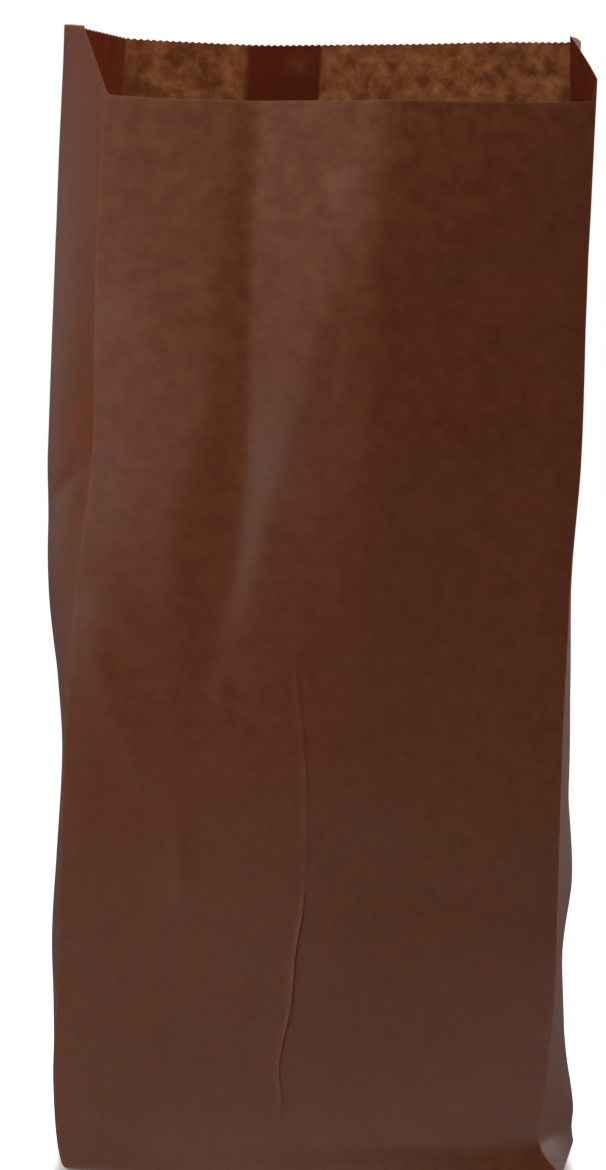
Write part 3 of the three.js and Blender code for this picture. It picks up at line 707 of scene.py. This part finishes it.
def make_kraft():
    """Machine-glazed brown kraft paper.

    Unbleached wood fibres settle in soft clouds, with a few bits of bark among them, and let some light
    through. The outer face was dried on a polished drum, which gives it a low broad sheen; the inner face
    stays matt. Paste makes the doubled paper darker and stops the light. The gussets and the inner side of
    the cut are painted the same dark red as painted shade, and the outer side of the cut gets a painted
    highlight.
    """
    material = bpy.data.materials.new("machine_glazed_kraft_paper")
    material.use_nodes = True
    tree = material.node_tree
    tree.nodes.clear()
    clouds, drift, fibres, grains = kraft_patterns(tree)
    inside, dense_and_shaded, cut_edge, folded = (
        add_node(tree, "Attribute", attribute_name=name).outputs["Fac"] for name in POINT_VALUES
    )

    # painted shade: along the cut the inner face is painted dark red and lets less light through
    close_cut = add_node(tree, "Math", {0: cut_edge, 1: 5.0}, operation="POWER")
    inner_cut_painted_shade = add_node(tree, "Math", {0: close_cut.outputs[0], 1: inside}, operation="MULTIPLY")
    closed = add_node(tree, "Math", {0: dense_and_shaded, 1: inner_cut_painted_shade.outputs[0]}, operation="MAXIMUM")
    # paste darkens the lap, and the same dark red is painted shade in the gussets and along the inner side
    # of the cut; it shows mostly on the inner face
    inner_weighted = add_node(tree, "MapRange", {"Value": inside, "To Min": 0.15, "To Max": 1.0})
    paste_and_painted_shade = add_node(tree, "Math", {0: closed.outputs[0], 1: inner_weighted.outputs[0]}, operation="MULTIPLY")
    # rubbed folds show paler fibres, and along the cut the outer face gets a painted highlight
    rubbed = add_node(tree, "Math", {0: folded, 1: 0.25}, operation="MULTIPLY")
    outer_face_half = add_node(tree, "MapRange", {"Value": inside, "To Min": 0.5, "To Max": 0.0})
    cut_painted_highlight = add_node(tree, "Math", {0: close_cut.outputs[0], 1: outer_face_half.outputs[0]}, operation="MULTIPLY")
    cloudy = add_node(tree, "MapRange", {"Value": clouds, "From Min": 0.35, "From Max": 0.65})
    drifted = add_node(tree, "MapRange", {
        "Value": drift, "From Min": 0.35, "From Max": 0.65, "To Max": 0.35,
    })
    fibrous = add_node(tree, "MapRange", {
        "Value": fibres, "From Min": 0.35, "From Max": 0.7, "To Max": 0.3,
    })
    bark = add_node(tree, "MapRange", {
        "Value": grains, "From Min": 0.05, "From Max": 0.1, "To Min": 0.55, "To Max": 0.0,
    })
    colour = linear("#672e13")
    tones = [
        (cloudy, "#773d1f"), (drifted, "#6c3618"), (fibrous, "#7d4627"), (bark, "#4a1f0d"),
        # dark red: paste on the lap, painted shade in the gussets and along the inner side of the cut;
        # palest: painted highlight along the outer side of the cut
        (paste_and_painted_shade, "#6b2b1b"), (rubbed, "#94603f"), (cut_painted_highlight, "#a57450"),
    ]
    for share, tone in tones:
        mix = add_node(tree, "Mix", {0: share.outputs[0], 6: colour, 7: linear(tone)}, data_type="RGBA")
        colour = mix.outputs[2]

    # glazed outside, matt inside, a little uneven with the clouds
    glaze = add_node(tree, "MapRange", {"Value": clouds, "To Min": 0.34, "To Max": 0.46})
    felted = add_node(tree, "Bump", {"Strength": 0.25, "Distance": 0.05 * MM, "Height": fibres})
    uneven = add_node(tree, "Bump", {
        "Strength": 0.18, "Distance": 0.12 * MM, "Height": clouds, "Normal": felted.outputs[0],
    })
    glazed = add_node(tree, "BsdfPrincipled", {
        "Base Color": colour, "Roughness": glaze.outputs[0], "IOR": 1.5, "Normal": uneven.outputs[0],
    })
    matt = add_node(tree, "BsdfDiffuse", {"Color": colour, "Normal": uneven.outputs[0]})
    paper = add_node(tree, "MixShader", {0: inside, 1: glazed.outputs[0], 2: matt.outputs[0]})

    # thin places let more light through, and the loose fibres of the inner face more than the glaze
    thin = add_node(tree, "MapRange", {
        "Value": clouds, "From Min": 0.36, "From Max": 0.64, "To Min": 0.105, "To Max": 0.215,
    })
    loose = add_node(tree, "MapRange", {"Value": inside, "To Min": 1.0, "To Max": 3.7})
    passed = add_node(tree, "Math", {0: thin.outputs[0], 1: loose.outputs[0]}, operation="MULTIPLY")
    single = add_node(tree, "Mix", {0: closed.outputs[0], 2: passed.outputs[0], 3: 0.03})
    through = add_node(tree, "BsdfTranslucent", {"Color": linear("#eec29c")})
    both = add_node(tree, "MixShader", {0: single.outputs[0], 1: paper.outputs[0], 2: through.outputs[0]})
    add_node(tree, "OutputMaterial", {"Surface": both.outputs[0]})
    return material


bag = make_bag()
bag.data.materials.append(make_kraft())
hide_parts("paper_bag")
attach(bag, "root")


# The stage. The table shows the bag's shadow within a strip around the base, and is plain white past it
TABLE_REACH = 6.0  # metres
SHADOW_STRIP = 6.0  # the shadow has run out this far from the base
SHADOW_GLOW = 0.12  # glow of the table at the base, where 1 is plain white
# In the paper's reflections only, the table glows as a painted bright band before the bag and shows
# painted shade past it, which the glazed front and the sides mirror
BAND_PLACE = -200.0  # middle of the band, before the bag
BAND_HALF = 150.0  # fully bright this far to either side of its middle
BAND_END = 205.0  # and fully shaded from here on
# glow of the painted shade in the table's reflections, where 1 is plain white
MIRRORED_PAINTED_SHADE = 0.14


def make_floor():
    """White table top, which in reflections glows as a painted bright band and painted shade."""
    mesh = bpy.data.meshes.new("table_top")
    corners = [(x * TABLE_REACH, y * TABLE_REACH, 0) for x, y in ((-1, -1), (1, -1), (1, 1), (-1, 1))]
    mesh.from_pydata(corners, [], [(0, 1, 2, 3)])
    floor = bpy.data.objects.new("table_top", mesh)
    bpy.context.collection.objects.link(floor)
    material = bpy.data.materials.new("matt_white_table_top")
    material.use_nodes = True
    tree = material.node_tree
    tree.nodes.clear()
    light_path = add_node(tree, "LightPath")
    ray, glossy = light_path.outputs["Is Camera Ray"], light_path.outputs["Is Glossy Ray"]
    spot = add_node(tree, "VectorMath", {
        0: add_node(tree, "TexCoord").outputs["Object"], 1: (LEAN[0][1] * MM, 0.0, 0.0),
    }, operation="SUBTRACT")
    off = add_node(tree, "VectorMath", {0: spot.outputs[0]}, operation="ABSOLUTE")
    past_base = add_node(tree, "VectorMath", {
        0: off.outputs[0], 1: (FACE_WIDTH / 2 * MM, HALF_GUSSET * MM, 0.0),
    }, operation="SUBTRACT")
    way = add_node(tree, "SeparateXYZ", {0: past_base.outputs[0]})
    far = add_node(tree, "Math", {0: way.outputs["X"], 1: way.outputs["Y"]}, operation="MAXIMUM")
    white = add_node(tree, "MapRange", {
        "Value": far.outputs[0], "From Max": SHADOW_STRIP * MM, "To Min": SHADOW_GLOW, "To Max": 1.0,
    }, interpolation_type="SMOOTHSTEP")
    glow = add_node(tree, "Math", {0: ray, 1: white.outputs[0]}, operation="MULTIPLY")
    matt = add_node(tree, "BsdfDiffuse", {"Color": linear("#f4f4f4")})
    lit = add_node(tree, "Emission", {"Color": linear("#ffffff"), "Strength": glow.outputs[0]})
    both = add_node(tree, "AddShader", {0: matt.outputs[0], 1: lit.outputs[0]})
    ahead = add_node(tree, "SeparateXYZ", {0: spot.outputs[0]})
    from_band = add_node(tree, "Math", {0: ahead.outputs["Y"], 1: BAND_PLACE * MM}, operation="SUBTRACT")
    away = add_node(tree, "Math", {0: from_band.outputs[0]}, operation="ABSOLUTE")
    bright = add_node(tree, "MapRange", {
        "Value": away.outputs[0], "From Min": BAND_HALF * MM, "From Max": BAND_END * MM,
        "To Min": 1.0, "To Max": MIRRORED_PAINTED_SHADE,
    }, interpolation_type="SMOOTHSTEP")
    mirrored = add_node(tree, "Emission", {"Color": linear("#ffffff"), "Strength": bright.outputs[0]})
    seen = add_node(tree, "MixShader", {0: glossy, 1: both.outputs[0], 2: mirrored.outputs[0]})
    add_node(tree, "OutputMaterial", {"Surface": seen.outputs[0]})
    mesh.materials.append(material)


# Name, place, the place it is aimed at and size in metres, watts, and degrees of spread
LAMPS = [
    ("window_left", (-0.21, -0.23, 0.27), (-0.02, -0.03, 0.22), (0.12, 0.42), 0.43, 180),
    ("skylight_left", (-0.55, -0.25, 0.95), (0.0, -0.05, 0.15), (0.4, 0.4), 2.2, 180),
    ("skylight_front", (0.05, -0.5, 0.75), (0.03, -0.04, 0.27), (0.3, 0.3), 0.075, 40),
    ("skylight_right", (0.5, 0.06, 0.75), (0.0, 0.0, 0.3), (0.25, 0.25), 0.27, 40),
    ("light_right", (0.46, 0.18, 0.19), (0.08, 0.0, 0.12), (0.2, 0.4), 0.115, 60),
    ("table_glow", (0.05, -0.36, 0.025), (0.035, -0.04, 0.01), (0.3, 0.04), 0.001, 30),
    ("foot_glow", (0.05, -0.16, 0.008), (0.05, -0.035, 0.004), (0.2, 0.012), 0.0004, 16),
    ("light_behind", (-0.05, 0.6, 0.35), (0.0, 0.04, 0.26), (0.3, 0.3), 0.36, 45),
]


def make_lamp(name, place_at, aim_at, size, watts, spread):
    lamp = bpy.data.lights.new(name, "AREA")
    lamp.shape = "RECTANGLE"
    lamp.size, lamp.size_y = size
    lamp.energy = watts
    lamp.spread = math.radians(spread)
    holder = bpy.data.objects.new(name, lamp)
    holder.location = place_at
    holder.rotation_euler = (Vector(aim_at) - Vector(place_at)).to_track_quat("-Z", "Y").to_euler()
    holder.visible_camera = False
    bpy.context.collection.objects.link(holder)


def make_world():
    """A white sweep behind the bag and a dim room in front of it. The eye sees plain white all round."""
    world = bpy.data.worlds.new("white_studio")
    world.use_nodes = True
    tree = world.node_tree
    tree.nodes.clear()
    way = add_node(tree, "SeparateXYZ", {0: add_node(tree, "TexCoord").outputs["Generated"]})
    sweep = add_node(tree, "MapRange", {
        "Value": way.outputs["Y"], "From Min": 0.4, "From Max": 0.9, "To Min": 0.005, "To Max": 0.5,
    }, interpolation_type="SMOOTHSTEP")
    ray = add_node(tree, "LightPath").outputs["Is Camera Ray"]
    level = add_node(tree, "Mix", {0: ray, 2: sweep.outputs["Result"], 3: 1.0})
    glow = add_node(tree, "Background", {"Color": linear("#ffffff"), "Strength": level.outputs[0]})
    add_node(tree, "OutputWorld", {"Surface": glow.outputs[0]})
    bpy.context.scene.world = world


def make_camera():
    """Camera level with the upper bag, tilted sideways by a degree as in the photograph."""
    camera = bpy.data.cameras.new("camera")
    camera.lens = 80.35
    camera.sensor_width = 36
    camera.shift_y = -0.1569
    holder = bpy.data.objects.new("camera", camera)
    holder.location = (-0.002, -0.816, 0.231)
    holder.rotation_euler = (math.pi / 2, -0.0166, 0)
    bpy.context.collection.objects.link(holder)
    bpy.context.scene.camera = holder


make_floor()
for lamp in LAMPS:
    make_lamp(*lamp)
make_world()
make_camera()
bpy.context.scene.view_settings.view_transform = "Standard"
